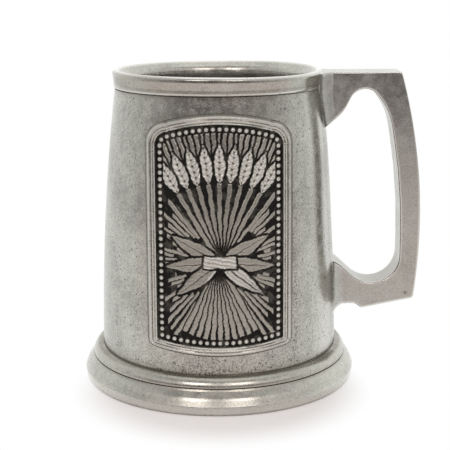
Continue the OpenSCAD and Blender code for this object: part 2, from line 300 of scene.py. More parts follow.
def crease_grime(points):
    """Dirt and painted shade that fade away from the nearest crease, as a narrow bell of the distance on a
    wider one.
    """
    radius = axis_distance(points)
    grime = np.zeros(radius.shape)
    for crease_r, crease_z, width, stops_short in CREASES:
        distance = np.hypot(radius - crease_r, points[..., 2] - crease_z)
        core = CREASE_CORE * bell(distance, width)
        spread = core + CREASE_HALO * bell(distance / width, CREASE_HALO_SPREAD)
        if stops_short:
            spread = spread * smooth_step(*CREASE_BEARING, handle_bearing(points))
        grime = np.maximum(grime, spread)
    return grime


def handle_swell(z, bearing):
    """How far the drum's side stands out beside the handle, where the two castings run together.

    A slow swell rises with the height and eases off near the rim, and the step under the rim is filled.
    Both fade with the bearing.
    """
    rise = smooth_step(*SWELL_RISE, z) * (1.0 - 0.3 * smooth_step(*SWELL_FALL, z))
    swell = SWELL * rise * (1.0 - smooth_step(*SWELL_BEARING, bearing))
    step = RIM_R - STEP_IN - drum_at(RIM_Z)
    filled_step = step * smooth_step(RIM_Z - STEP_H, RIM_Z, z) * (1.0 - smooth_step(*STEP_BEARING, bearing))
    return np.maximum(swell, filled_step)


# Shader maths


class Wire:
    """A shader socket that takes part in Python arithmetic. Every operation adds a Math node."""

    def __init__(self, tree, socket=None):
        self.tree = tree
        self.socket = socket

    def node(self, kind, settings=None, sockets=None, output=0):
        """Adds a node of a kind, sets its settings, then its sockets' values or links."""
        node = self.tree.nodes.new(kind)
        for name, value in (settings or {}).items():
            setattr(node, name, value)
        for name, value in (sockets or {}).items():
            if isinstance(value, Wire):
                self.tree.links.new(value.socket, node.inputs[name])
            else:
                node.inputs[name].default_value = value
        return Wire(self.tree, node.outputs[output]) if len(node.outputs) else None

    def beside(self, output):
        """Another output of the node that this socket belongs to."""
        return Wire(self.tree, self.socket.node.outputs[output])

    def math(self, operation, first, second=0.0, clamp=False):
        """Adds a Math node."""
        settings = {"operation": operation, "use_clamp": clamp}
        return self.node("ShaderNodeMath", settings, {0: first, 1: second})

    def __add__(self, other):
        return self.math("ADD", self, other)

    def __radd__(self, other):
        return self.math("ADD", other, self)

    def __sub__(self, other):
        return self.math("SUBTRACT", self, other)

    def __rsub__(self, other):
        return self.math("SUBTRACT", other, self)

    def __mul__(self, other):
        return self.math("MULTIPLY", self, other)

    def __rmul__(self, other):
        return self.math("MULTIPLY", other, self)

    def clamped(self):
        """The value kept between 0 and 1."""
        return self.math("ADD", self, 0.0, True)

    def above(self, low, high):
        """0 below low, 1 above high, smooth between."""
        ends = {"Value": self, "From Min": low, "From Max": high}
        return self.node("ShaderNodeMapRange", {"interpolation_type": "SMOOTHSTEP"}, ends)


def cleared(owner):
    """Empties the nodes of a material or a world, and gives a wire to start from."""
    owner.use_nodes = True
    owner.node_tree.nodes.clear()
    return Wire(owner.node_tree)


def noise(wire, place, scale, detail, roughness):
    """A cloudy pattern round 0.5."""
    sockets = {"Vector": place, "Scale": scale, "Detail": detail, "Roughness": roughness}
    return wire.node("ShaderNodeTexNoise", {}, sockets)


def mark(wire, name):
    """One of the marks that a piece carries on its points."""
    return wire.node("ShaderNodeAttribute", {"attribute_name": name}, {}, "Fac")


def mixed(wire, share, first, second):
    """Mixes two colours by a share."""
    return wire.node("ShaderNodeMix", {"data_type": "RGBA"}, {0: share, 6: first, 7: second}, 2)


def bumped(wire, height, depth, normal=None):
    """A surface normal bent by a height pattern that is depth millimetres deep."""
    sockets = {"Height": height, "Strength": 1.0, "Distance": depth * MM}
    if normal is not None:
        sockets["Normal"] = normal
    return wire.node("ShaderNodeBump", {}, sockets)


# Finishes

# Patterns in the metal, in cells per millimetre
CLOUD_SCALE = 0.06
PATCH_SCALE = 0.32
CRYSTAL_SCALE = 1.4
SPECK_SCALE = 1.7
HOLE_SCALE = 0.42
LATHE_SCALE = 3.4

# Colours of rubbed edges and painted sheen, of brown stain and painted shade, and of black dirt and painted
# shade
RUBBED_AND_SHEEN = (0.74, 0.73, 0.69, 1.0)
BROWN_STAIN_AND_SHADE = (0.19, 0.165, 0.125, 1.0)
BLACK_DIRT_AND_SHADE = (0.010, 0.009, 0.008, 1.0)


def casting_pits(wire, place, mottle, pitted):
    """Dark pits on the outside: specks in mottled metal, more where marked as pitted, and round holes."""
    outside = 1.0 - mark(wire, "inside")
    specks = noise(wire, place, SPECK_SCALE, 1.0, 0.5)
    pits = (1.0 - specks.above(0.29, 0.39)) * mottle.above(0.25, 0.75) * pitted
    pits = (pits + (1.0 - specks.above(0.38, 0.50)) * mark(wire, "pitting")) * outside
    holes = wire.node("ShaderNodeTexVoronoi", {}, {"Vector": place, "Scale": HOLE_SCALE}, "Distance")
    chosen = wire.node("ShaderNodeSeparateColor", {}, {0: holes.beside("Color")}).above(0.45, 0.55)
    pits = pits + (1.0 - holes.above(0.1, 0.22)) * chosen * pitted * outside
    return pits.clamped()


def lathe_lines(wire, place):
    """Fine lines round the axis: a cloudy pattern read by radius and height alone."""
    x = wire.node("ShaderNodeSeparateXYZ", {}, {0: place})
    y = x.beside(1)
    radius = wire.math("SQRT", x * x + y * y)
    rings = wire.node("ShaderNodeCombineXYZ", {}, {0: radius, 1: x.beside(2)})
    return noise(wire, rings, LATHE_SCALE, 3.0, 0.6)


def pewter(name, light, dark, roughness, grain_depth, lathe=0.0, pitted=0.5):
    """Old pewter: clouded satin metal with a cast grain, pits, dirt and painted shade where marked, and
    bright rubbed edges and painted sheen.

    The colour runs from dark to light by clouds, patches and crystals. grain_depth is the depth of the
    crystals and lathe that of the lines that turning leaves, both in millimetres. pitted is the strength of
    the pits. Metal marked as inside is duller.
    """
    material = bpy.data.materials.new(name)
    start = cleared(material)
    place = start.node("ShaderNodeTexCoord", {}, {}, "Object")
    place = start.node("ShaderNodeVectorMath", {"operation": "SCALE"}, {0: place, "Scale": 1.0 / MM})
    clouds = noise(start, place, CLOUD_SCALE, 3.0, 0.55).above(0.3, 0.7)
    patches = noise(start, place, PATCH_SCALE, 3.0, 0.6)
    mottle = patches.above(0.3, 0.7)
    crystals = noise(start, place, CRYSTAL_SCALE, 2.0, 0.6)
    grain = crystals.above(0.28, 0.72)
    pits = casting_pits(start, place, mottle, pitted)
    # This mark lightens the colour: rubbed wear, and painted sheen on some pieces
    wear = mark(start, "wear")
    # Dirt and painted shade darken the colour, first brown and then black; pits darken it too
    darkened = mark(start, "grime") * (0.9 + mottle * 0.3)
    brown_share = (darkened * 1.6).clamped() * 0.75
    dark_share = ((darkened * 1.5 - 0.5).clamped() + pits * 0.7).clamped()

    colour = mixed(start, clouds * 0.25 + mottle * 0.3 + grain * 0.45, dark, light)
    colour = mixed(start, (wear * 0.75).clamped(), colour, RUBBED_AND_SHEEN)
    colour = mixed(start, brown_share, colour, BROWN_STAIN_AND_SHADE)
    colour = mixed(start, dark_share, colour, BLACK_DIRT_AND_SHADE)
    rough = roughness + (mottle - 0.5) * 0.08 + (clouds - 0.5) * 0.06 + dark_share * 0.3 - wear * 0.05
    rough = rough + mark(start, "inside") * 0.3
    normal = bumped(start, crystals + patches * 0.4 - pits * 0.8, grain_depth)
    if lathe > 0.0:
        lines = lathe_lines(start, place)
        normal = bumped(start, lines, lathe, normal)
        rough = rough + (lines - 0.5) * 0.1
    shader = start.node("ShaderNodeBsdfPrincipled", {}, {
        "Base Color": colour,
        "Metallic": 1.0 - dark_share * 0.6,
        "Specular IOR Level": 0.2,
        "Roughness": rough.clamped(),
        "Normal": normal,
    })
    start.node("ShaderNodeOutputMaterial", {}, {"Surface": shader})
    return material


CAST = pewter(
    "cast_pewter", light=(0.59, 0.588, 0.529, 1.0), dark=(0.235, 0.233, 0.209, 1.0),
    roughness=0.24, grain_depth=0.022, pitted=0.8)
SMOOTH_CAST = pewter(
    "smooth_cast_pewter", light=(0.51, 0.51, 0.468, 1.0), dark=(0.315, 0.315, 0.286, 1.0),
    roughness=0.25, grain_depth=0.016, pitted=0.2)
TURNED = pewter(
    "turned_pewter", light=(0.57, 0.565, 0.505, 1.0), dark=(0.33, 0.325, 0.29, 1.0),
    roughness=0.21, grain_depth=0.015, lathe=0.006, pitted=0.4)
DULL = pewter(
    "dull_pewter", light=(0.46, 0.45, 0.42, 1.0), dark=(0.32, 0.31, 0.29, 1.0),
    roughness=0.42, grain_depth=0.03, lathe=0.02, pitted=0.4)
BLACKENED = pewter(
    "blackened_pewter", light=(0.56, 0.558, 0.503, 1.0), dark=(0.365, 0.363, 0.328, 1.0),
    roughness=0.32, grain_depth=0.026, pitted=0.5)


# Turned pieces

WALL_SIDES = 400
MOULDING_SIDES = 384
FLOOR_SIDES = 192
OUTSIDE_ROWS = 116
THROAT_ROWS = 25
INSIDE_ROWS = 82
FLOOR_ROWS = 90
COLLAR_ROWS = 40
COLLAR_POWER = 2.0 / 1.85
DRUM_RIPPLE = 0.05
MOULDING_RIPPLE = 0.03
FOOT_RIPPLE = 0.04
THROAT_H = 8.0
SPIGOT_IN = 0.9
RIM_SEAT_IN = 0.8
RIM_LOW_IN = 0.42
RIM_LOW_ROUND = 1.1
CREST_WORN = 0.35
CREST_LEAN = 0.002
CREST_TWIST = 0.0004
FLOOR_BEVEL = 0.4
FLOOR_DISH = 0.5
GROOVE_DEPTH = 0.12
GROOVE_SPACING = 6.0
FOOT_RECESS = 3.0
FOOT_WEB = DRUM_R - DRUM_WALL - 4.0
FOOT_EDGE_Z = 3.4
FOOT_FACE_Z = 6.45

# Coarse pits: a belt under the plaque, by height and bearing from the front, and a line beside it
PIT_BELT_Z = 15.5
PIT_BELT_H = 5.0
PIT_BELT_BEARING = 34.0
PIT_LINE_BEARING = 38.0
PIT_LINE_W = 2.6
PIT_LINE_TOP = (96.0, 80.0)


def drum_pitting(points):
    """Coarse casting pits: bells of height and bearing under the plaque and to its right, and clouds.

    The bearing is the angle from the front. The clouds are the product of two slanting sines.
    """
    bearing = np.degrees(np.arctan2(points[..., 0], -points[..., 1]))
    z = points[..., 2]
    belt = bell(z - PIT_BELT_Z, PIT_BELT_H) * bell(bearing, PIT_BELT_BEARING)
    line = bell(bearing - PIT_LINE_BEARING, PIT_LINE_W) * smooth_step(*PIT_LINE_TOP, z)
    clouds = np.clip(np.sin(bearing / 17.0 + z / 9.0) * np.sin(bearing / 29.0 - z / 21.0 + 1.0), 0.0, 1.0)
    return np.maximum(np.maximum(0.75 * belt, 0.7 * line), 0.2 * clouds)


def make_drum():
    """The drum's wall: up the bowed outside, over a spigot inside the rim, and down the bowed inside.

    The inside thickens gently towards the lip and opens again just under it, along a parabola. The outside
    swells beside the handle. There it is darkened with painted shade, next to that lightened by a painted
    strip of reflection, and the inside is dull and darkened downwards with painted shade.
    """
    seat = RIM_Z - SOLDER
    low = DRUM_LOW[2]
    top = DRUM_HIGH[2]
    spigot = drum_at(seat) - SPIGOT_IN
    throat_z = top - THROAT_H
    outside_z = np.linspace(low, seat, OUTSIDE_ROWS)
    inside_z = np.concatenate([
        np.linspace(top, throat_z, THROAT_ROWS)[:-1],
        np.linspace(throat_z, low, INSIDE_ROWS),
    ])
    outside = np.stack([drum_at(outside_z), outside_z], -1)
    wall = DRUM_WALL + LIP_IN * smooth_step(top - LIP_IN_H, top, inside_z)
    ease = LIP_EASE * np.clip((inside_z - top + LIP_EASE_H) / LIP_EASE_H, 0.0, 1.0) ** 2
    inside = np.stack([drum_at(inside_z) - wall + ease, inside_z], -1)
    profile = np.concatenate([outside, [[spigot, seat], [spigot, top]], inside])
    points, quads = turned_ring(profile, WALL_SIDES, DRUM_RIPPLE)
    z = points[..., 2]
    radius = axis_distance(points)
    hollow = radius < drum_at(z) - 0.6 * DRUM_WALL
    bearing = handle_bearing(points)
    swell = np.where(hollow, 0.0, handle_swell(z, bearing))
    points[..., :2] = points[..., :2] * (1.0 + swell / radius)[..., None]
    # Painted shade inside, darker further down from the lip
    depth_shade = 0.3 * smooth_step(top - 0.3, top - 3.0, z)
    # Painted shade on the drum beside the handle
    darkened = 0.2 * smooth_step(*SHADE_BEARING, bearing)
    # A painted strip of reflection, lighter, on the drum next to the handle
    lightened_band = 0.5 * smooth_step(*SHEEN_FROM, bearing) * smooth_step(*SHEEN_TO, bearing)
    add_piece("drum_wall", points, quads, [], CAST, "cast_pewter", "drum",
              grime=np.where(hollow, depth_shade, np.maximum(crease_grime(points), darkened)),
              wear=np.where(hollow, 0.0, lightened_band),
              pitting=np.where(hollow, 0.0, drum_pitting(points)),
              inside=hollow * smooth_step(top, top - 4.0, z))


def make_rim():
    """The rim band: a rounded lower edge, a hollow face, a round outer edge and a lip rolled down inside.

    The profile is a line whose corners are turned by arcs of their own radius. Beside the handle the lower
    edge is squared, because the step under it is filled there. The crest is worn down, a little unevenly.
    """
    seat_r = drum_at(RIM_Z) - RIM_SEAT_IN
    seat_top = DRUM_HIGH[2] + SOLDER
    throat = drum_at(seat_top) - DRUM_WALL - LIP_IN + LIP_EASE
    crest = RIM_R - LIP_ROUND
    low_r = RIM_R - RIM_LOW_IN
    top = MUG_TOP
    outside = rounded_path([
        [seat_r, RIM_Z],
        [low_r, RIM_Z, RIM_LOW_ROUND],
        [low_r + 0.07, RIM_Z + 2.4, 6.0],
        [RIM_R, top - LIP_ROUND - 0.7, 0.5],
        [RIM_R - 0.06, top, LIP_ROUND - 0.1],
        [crest - 0.5, top, 1.0],
        [throat + 0.25, seat_top + 1.4, 3.2],
        [throat, seat_top],
    ], False, 0.2)
    under = np.array([[throat + 0.3, seat_top - 0.05], [seat_r, seat_top - 0.05]])
    points, quads = turned_ring(np.concatenate([outside, under]), MOULDING_SIDES, MOULDING_RIPPLE)
    x, y, z = points[..., 0], points[..., 1], points[..., 2]
    radius = axis_distance(points)
    at_handle = 1.0 - smooth_step(*STEP_BEARING, handle_bearing(points))
    lower_round = (z < RIM_Z + RIM_LOW_ROUND) & (radius > seat_r + 0.05)
    squared = np.clip(low_r - 0.1 - radius, 0.0, None) * at_handle
    points[..., :2] = points[..., :2] * (1.0 + lower_round * squared / radius)[..., None]
    # A light line along the lower edge and a bright crest: rubbed wear and painted highlight
    low_edge_sheen = 0.9 * bell(z - RIM_Z - 0.8, 0.6)
    wear = np.maximum(smooth_step(top - 1.0, top - 0.1, z), low_edge_sheen)
    worn_down = CREST_WORN + CREST_LEAN * x - CREST_TWIST * np.maximum(x, 0.0) * y
    points[..., 2] = z - smooth_step(seat_top, top, z) * worn_down
    # The rim's face is a little darker all round, and more so towards the left
    face_darkening = (0.06 + 0.15 * smooth_step(-8.0, -30.0, x)) * (radius > crest + 0.3)
    add_piece("rim_moulding", points, quads, [], TURNED, "turned_pewter", "rim_band",
              grime=np.maximum(crease_grime(points), face_darkening), wear=wear)


def make_floor():
    """The floor disc: dished along a parabola, with shallow grooves, a cosine of the radius, underneath."""
    radius = FLOOR_HIGH[0]
    low = FLOOR_LOW[2]
    high = FLOOR_HIGH[2]
    out = np.linspace(0.0, radius - FLOOR_BEVEL, FLOOR_ROWS)
    waves = 0.5 - 0.5 * np.cos(2.0 * math.pi * out / GROOVE_SPACING)
    under = np.stack([out, low + GROOVE_DEPTH * waves * smooth_step(2.0, 6.0, out)], -1)
    back = out[::-1]
    over = np.stack([back, high - FLOOR_DISH * (1.0 - (back / radius) ** 2)], -1)
    edge = np.array([[radius, low + FLOOR_BEVEL], [radius, high - FLOOR_BEVEL]])
    points, quads, tris = turned_disc(np.concatenate([under, edge, over]), FLOOR_SIDES)
    wall = smooth_step(radius - 3.0, radius, axis_distance(points))
    # The floor darkens towards its edge, where it meets the wall
    add_piece("floor_plate", points, quads, tris, DULL, "dull_pewter", "floor_disc", grime=0.8 * wall)


def make_collar():
    """The collar: a quarter round, slightly flattened, from the drum's side down to the foot's shoulder.

    Its cosine and sine are raised to a power a little over 1. Dirt and painted shade darken its joint with
    the drum.
    """
    inner = DRUM_R + 0.05
    low = COLLAR_LOW[2] - 0.05
    high = COLLAR_HIGH[2]
    round_r = COLLAR_HIGH[0] - inner
    turn = np.radians(np.linspace(0.0, 90.0, COLLAR_ROWS))
    curve = np.stack([
        inner + round_r * np.cos(turn) ** COLLAR_POWER,
        high - round_r + round_r * np.sin(turn) ** COLLAR_POWER,
    ], -1)
    profile = np.concatenate([[[inner, low], [curve[0, 0] - 0.3, low]], curve])
    points, quads = turned_ring(profile, MOULDING_SIDES, MOULDING_RIPPLE)
    joint = np.hypot(axis_distance(points) - DRUM_R, points[..., 2] - high)
    # Dirt and painted shade along the joint with the drum
    grime = np.maximum(crease_grime(points), 0.40 * smooth_step(3.7, 2.0, joint))
    add_piece("collar_moulding", points, quads, [], TURNED, "turned_pewter", "foot_collar", grime=grime)


def make_foot():
    """The foot ring: a crisp shoulder, a slanting full face, an upright edge and the stepped hollow below.

    The profile is a closed line whose corners are turned by arcs of their own radius. The upright edge is
    lightened, as rubbed wear and painted light.
    """
    top = FOOT_HIGH[2]
    belly = FOOT_HIGH[0]
    seat = DRUM_LOW[2] - SOLDER
    profile = rounded_path([
        [FOOT_WEB, FOOT_RECESS, 0.5],
        [DRUM_R, FOOT_RECESS, 0.6],
        [DRUM_R + 0.3, 0.0, 0.6],
        [belly - 0.3, 0.0, 0.9],
        [belly, FOOT_EDGE_Z, 1.0],
        [belly - 1.3, FOOT_FACE_Z, 6.0],
        [belly - 3.18, top - 0.75, 0.15],
        [belly - 3.5, top - 0.02, 0.15],
        [DRUM_R + SOLDER, top, 0.0],
        [DRUM_R + SOLDER, seat, 0.0],
        [FOOT_WEB, seat, 0.5],
    ], True, 0.25)
    points, quads = turned_ring(profile, WALL_SIDES, FOOT_RIPPLE)
    z = points[..., 2]
    # A lighter band on the upright edge: rubbed wear and painted light
    lightened_band = 0.7 * smooth_step(0.3, 1.2, z) * smooth_step(4.6, 2.2, z)
    add_piece("foot_moulding", points, quads, [], TURNED, "turned_pewter", "foot_ring",
              grime=crease_grime(points), wear=lightened_band)


# The handle and its roots

GRIP_X = HANDLE_HIGH[0]
HANDLE_TOP = HANDLE_HIGH[2]
HANDLE_HALF = HANDLE_HIGH[1]
ARM_LOW = HANDLE_LOW[2]
GRIP_BOW = 225.0
GRIP_BELLY_Z = 62.0
GRIP_W = 8.1
GRIP_LEAN = math.radians(10.3)
ARM_RISE = math.tan(math.radians(11.5))
LOOP_Z = 39.1
LOOP_LOW_R = 11.5
LOOP_TOP_R = 6.5
LOOP_TOP = HANDLE_TOP - 7.1
UPPER_FACE_X = UPPER_HIGH[0]
LOWER_FACE_X = LOWER_HIGH[0]
ROOT_UNDER_Z = ARM_LOW + 2.0
NOSE_X = LOWER_FACE_X + 2.3
COVE_R = 4.2
SHOULDER_DROP = 9.3
UPPER_FILLET = 4.4
LOWER_FILLET = 3.6
EDGE_ROUND = 0.7
SUNK = 0.5
BLOWHOLE = (77.4, 34.3)
BLOWHOLE_R = 0.7


def skin_at(z):
    """Radius of what the handle is soldered to: the drum, or the rim band over its lower edge."""
    drum = drum_at(z) + handle_swell(z, 0.0)
    return drum + (RIM_R - drum) * smooth_step(RIM_Z - 3.0, RIM_Z + 1.5, z)


def back_at(z):
    """The grip's bowed back."""
    return GRIP_X - GRIP_BOW + np.sqrt(GRIP_BOW ** 2 - (z - GRIP_BELLY_Z) ** 2)


def outer_line():
    """The handle's outside, from the rim over the top, down the back and along the under side to the drum.

    The back is an arc, the arms are straight, and a quarter circle runs into the drum below.
    """
    heel_z = ARM_LOW + (GRIP_X - 2.4 - NOSE_X) * ARM_RISE
    back_z = np.linspace(HANDLE_TOP, heel_z, 120)
    root_r = drum_at(ROOT_UNDER_Z)
    turn = np.linspace(0.0, math.pi / 2.0, 12)
    cove = np.stack([
        root_r + COVE_R - COVE_R * np.sin(turn),
        ROOT_UNDER_Z - COVE_R + COVE_R * np.cos(turn),
    ], -1)
    low_end = ROOT_UNDER_Z - COVE_R - 2.0
    path = np.concatenate([
        [[RIM_R - SUNK - 0.6, HANDLE_TOP], [UPPER_FACE_X, HANDLE_TOP]],
        np.stack([back_at(back_z), back_z], -1),
        [[NOSE_X, ARM_LOW], [LOWER_FACE_X, ROOT_UNDER_Z]],
        cove,
        [[drum_at(low_end) - SUNK, low_end]],
    ])
    return softened(filled(path, False, 0.5), 1.6)


def inner_line():
    """The finger loop, from the drum under the upper arm, round the loop and back to the drum.

    It is a line whose corners are turned by arcs, with an ogee under the upper arm.
    """
    front_x = GRIP_X - GRIP_W
    low_corner = LOOP_Z - LOOP_LOW_R * math.sqrt(2.0)
    bend_z = (LOOP_Z + LOOP_TOP) / 2.0
    shoulder_z = LOOP_TOP - SHOULDER_DROP
    bend_r = 0.7 * (shoulder_z - bend_z) / math.tan(GRIP_LEAN / 2.0)
    shoulder_x = front_x - (shoulder_z - bend_z) * math.tan(GRIP_LEAN)
    ogee_x = UPPER_FACE_X + 3.6
    tail_z = shoulder_z - (ogee_x - drum_at(shoulder_z)) * 0.78
    slope_z = low_corner + front_x - drum_at(LOOP_Z) - 0.3
    high_end = slope_z + 5.0
    low_end = tail_z - 6.0
    path = rounded_path([
        [drum_at(low_end) - SUNK, low_end],
        [drum_at(tail_z) + 0.1, tail_z, 5.0],
        [ogee_x, shoulder_z, 15.0],
        [UPPER_FACE_X + 11.1, LOOP_TOP + LOOP_TOP_R, LOOP_TOP_R],
        [shoulder_x, shoulder_z, 24.0],
        [front_x, bend_z, bend_r],
        [front_x, low_corner, LOOP_LOW_R],
        [drum_at(slope_z) + 0.1, slope_z, 4.0],
        [drum_at(high_end) - SUNK, high_end],
    ], False, 0.5)
    return softened(path, 0.8)


def station(path, spot):
    """Share of the way along an outline at which it passes nearest to a spot."""
    return np.argmin(np.hypot(*(path - np.array(spot)).T)) / (len(path) - 1.0)


def along(path, share):
    """The outline's points at given shares of the way along it."""
    ticks = np.linspace(0.0, 1.0, len(path))
    return np.stack([np.interp(share, ticks, path[:, k]) for k in (0, 1)], -1)


def handle_section(length, half):
    """Rectangles with rounded edges, one for each length, as distances across the band and sideways.

    The edges turn through quarter circles of the edge rounding, or less on a narrow band. The last value is
    1 on those edges and 0 on the flats.
    """
    quarter = np.linspace(0.0, math.pi / 2.0, 7)
    flat = np.linspace(0.0, 1.0, 21)[1:-1]
    side = np.linspace(0.0, 1.0, 13)[1:-1]
    round_r = np.minimum(EDGE_ROUND, 0.35 * length)[:, None]
    length = length[:, None]
    low, high = round_r, length - round_r
    near, far = -half + round_r, half - round_r
    ones = np.ones(len(quarter))
    # The four sides in turn, each followed by the rounded edge at its end
    pieces = [
        (low + (high - low) * flat, near - round_r + 0.0 * flat, 0.0 * flat),
        (high + round_r * np.sin(quarter), near - round_r * np.cos(quarter), ones),
        (length + 0.0 * side, near + (far - near) * side, 0.0 * side),
        (high + round_r * np.cos(quarter), far + round_r * np.sin(quarter), ones),
        (high + (low - high) * flat, far + round_r + 0.0 * flat, 0.0 * flat),
        (low - round_r * np.sin(quarter), far + round_r * np.cos(quarter), ones),
        (0.0 * length + 0.0 * side, far + (near - far) * side, 0.0 * side),
        (low - round_r * np.cos(quarter), near - round_r * np.sin(quarter), ones),
    ]
    across, sideways, edge = (np.concatenate(row, -1) for row in zip(*pieces))
    return across, sideways, np.broadcast_to(edge, across.shape)


def fillet_spread(gap, radius):
    """How much wider a root spreads at a gap from the drum: a slanting face that flares out at its foot.

    With t rising from 0 at the fillet's edge to 1 on the drum, a straight slope of 0.7 t is added to half a
    curve that starts flat and ends upright: 1 less the root of 1 less t to the fourth power.
    """
    t = np.clip(1.0 - gap / radius, 0.0, 1.0)
    return radius * (0.7 * t + 0.5 * (1.0 - np.sqrt(1.0 - t ** 4)))


def handle_lines():
    """Matching points of the finger loop and the outside, row by row, and the matched spots' row numbers."""
    outer = outer_line()
    inner = inner_line()
    # A spot on the outside, the spot on the loop that faces it, and how many rows lead up to them
    pairs = [
        (outer[0], inner[0], 0),
        ([UPPER_FACE_X, HANDLE_TOP], [UPPER_FACE_X, LOOP_TOP - 13.2], 60),
        ([UPPER_FACE_X + 11.5, HANDLE_TOP], [UPPER_FACE_X + 11.5, LOOP_TOP], 50),
        ([back_at(HANDLE_TOP), HANDLE_TOP], [GRIP_X - 17.2, LOOP_TOP - 5.2], 60),
        ([GRIP_X, GRIP_BELLY_Z], [GRIP_X - GRIP_W, GRIP_BELLY_Z], 100),
        ([GRIP_X - 2.5, ARM_LOW + 4.4], [GRIP_X - 11.0, LOOP_Z + 3.8], 70),
        ([NOSE_X + 1.0, ARM_LOW], [NOSE_X + 3.0, LOOP_Z + 0.1], 60),
        ([LOWER_FACE_X, ROOT_UNDER_Z], [LOWER_FACE_X, LOOP_Z + 2.4], 20),
        (outer[-1], inner[-1], 50),
    ]
    outer_marks = [station(outer, p[0]) for p in pairs]
    inner_marks = [station(inner, p[1]) for p in pairs]
    rows = np.cumsum([p[2] for p in pairs])
    ticks = np.arange(rows[-1] + 1)
    outside = along(outer, np.interp(ticks, rows, outer_marks))
    inside = along(inner, np.interp(ticks, rows, inner_marks))
    return inside, outside, rows


def make_handle():
    """The handle and its two roots: rounded sections carried along, from the finger loop to the outside.

    Near the drum a section widens by a fillet and bends round the drum, by the depth of the drum's arc.
    Edges are rubbed bright, partly as painted sheen, the fillets get a little painted light, the loop's
    inner face is darkened with painted shade, and a small blowhole is soiled.
    """
    inside, outside, rows = handle_lines()
    length = np.hypot(*(outside - inside).T)
    across, sideways, edge = handle_section(length, HANDLE_HALF)
    share = (across / length[:, None])[..., None]
    middle = inside[:, None] * (1.0 - share) + outside[:, None] * share
    x, z = middle[..., 0], middle[..., 1]
    skin = skin_at(z)
    gap = x - skin
    fillet = np.where(z > GRIP_BELLY_Z, UPPER_FILLET, LOWER_FILLET)
    near = np.clip(1.0 - gap / fillet, 0.0, 1.0)
    # Edges lightened as rubbed wear and painted sheen, and the fillets near the drum with painted light
    wear = 0.7 * edge + 0.1 * near ** 2
    y = sideways * (1.0 + fillet_spread(gap, fillet) / HANDLE_HALF)
    y = y + 0.05 * np.sin(x / 5.0 + 1.0) * np.sin(z / 7.0) * np.sign(sideways)
    bend = skin - np.sqrt(np.maximum(skin ** 2 - y ** 2, 1.0))
    x = x - bend * (1.0 - smooth_step(0.0, 10.0, gap))
    points = np.stack([x, y, z], -1)
    blowhole = np.hypot(x - BLOWHOLE[0], z - BLOWHOLE[1])
    grime = 0.65 * bell(blowhole, BLOWHOLE_R) * (y < 0.0)
    # Painted shade on the finger loop's inner face
    grime = np.maximum(grime, 0.2 * smooth_step(0.6, 0.0, across))
    cuts = [
        ("upper_root_casting", "upper_root", 0, rows[1]),
        ("handle_casting", "handle", rows[1], rows[-2]),
        ("lower_root_casting", "lower_root", rows[-2], rows[-1]),
    ]
    clean = np.zeros(2)
    for name, node, first, last in cuts:
        part = slice(first, last + 1)
        rings = points[part]
        tube, quads, tris = capped(rings, rings[[0, -1]].mean(1))
        add_piece(name, tube, quads, tris, SMOOTH_CAST, "cast_pewter", node,
                  grime=np.concatenate([grime[part].ravel(), clean]),
                  wear=np.concatenate([wear[part].ravel(), clean]))


# The plaque

PLAQUE_TURN = math.radians(1.0)
PLAQUE_Z = PLAQUE_LOW[2]
PLAQUE_TOP = PLAQUE_HIGH[2]
PLAQUE_HALF = 28.0
CROWN_RISE = 6.0
SOLE_DROP = 2.8
CROWN_R = (CROWN_RISE ** 2 + PLAQUE_HALF ** 2) / (2.0 * CROWN_RISE)
SOLE_R = (SOLE_DROP ** 2 + PLAQUE_HALF ** 2) / (2.0 * SOLE_DROP)
SHOULDER_R = 9.0
CORNER_R = 3.2
PLAQUE_FOOT = 0.06
PLAQUE_GROUND = 0.75
PLAQUE_RELIEF = 1.15
PLAQUE_BACK = -0.8
SLOPE_W = 1.2
BAND_W = 2.8
INCISED_W = 0.24
BEAD_R = 1.0
BEAD_SPACING = 2.45
BEAD_DEPTH = SLOPE_W + BAND_W + 1.7
TIE_Z = PLAQUE_Z + 0.4 * (PLAQUE_TOP - PLAQUE_Z)
TIE_HALF = (6.2, 2.3)
RAY_COUNT = 76
EAR_COUNT = 9
EAR_FAN = 31.0
EAR_L = 15.0
EAR_W = 4.7
BEARD_LEANS = (-0.1, -0.05, 0.0, 0.05, 0.1)
BEARD_FROM = 36.0
BEARD_TO = 51.0
BEARD_W = 0.75
STALK_L = 31.0
STALK_W = 1.5
STEM_COUNT = 11
STEM_FAN = 27.0
STEM_L = 30.0
STEM_W = 1.7
LEAF_TURNS = (62.0, -62.0, 96.0, -96.0, 128.0, -128.0)
LEAF_L = 21.0
LEAF_W = 5.4


def shoulder_centre(crown, corner):
    """Centre of the circle that rounds an arched top's shoulder, measured from the crown's centre."""
    x = PLAQUE_HALF - corner
    return x, math.sqrt((crown - corner) ** 2 - x ** 2)


def arch_height(x, crown, corner):
    """Height over the crown's centre of an arched top with rounded shoulders, x away from the middle.

    Up to where they touch it follows the crown's circle, and past that the shoulder's.
    """
    x = np.abs(x)
    shoulder_x, shoulder_z = shoulder_centre(crown, corner)
    meet = shoulder_x * crown / (crown - corner)
    arch = np.sqrt(crown ** 2 - x ** 2)
    bend = shoulder_z + np.sqrt(np.maximum(corner ** 2 - (x - shoulder_x) ** 2, 0.0))
    return np.where(x < meet, arch, bend)


def arch_depth(x, up, crown, corner):
    """How far a point lies inside an arched top: its least distance to crown, side and rounded shoulder."""
    x = np.abs(x)
    shoulder_x, shoulder_z = shoulder_centre(crown, corner)
    depth = np.minimum(crown - np.hypot(x, up), PLAQUE_HALF - x)
    rounded = corner - np.hypot(x - shoulder_x, up - shoulder_z)
    slope = shoulder_z / shoulder_x
    at_corner = (x > shoulder_x) & (up > shoulder_z) & (up < x * slope * 4.0)
    return np.where(at_corner & (rounded < depth), rounded, depth)


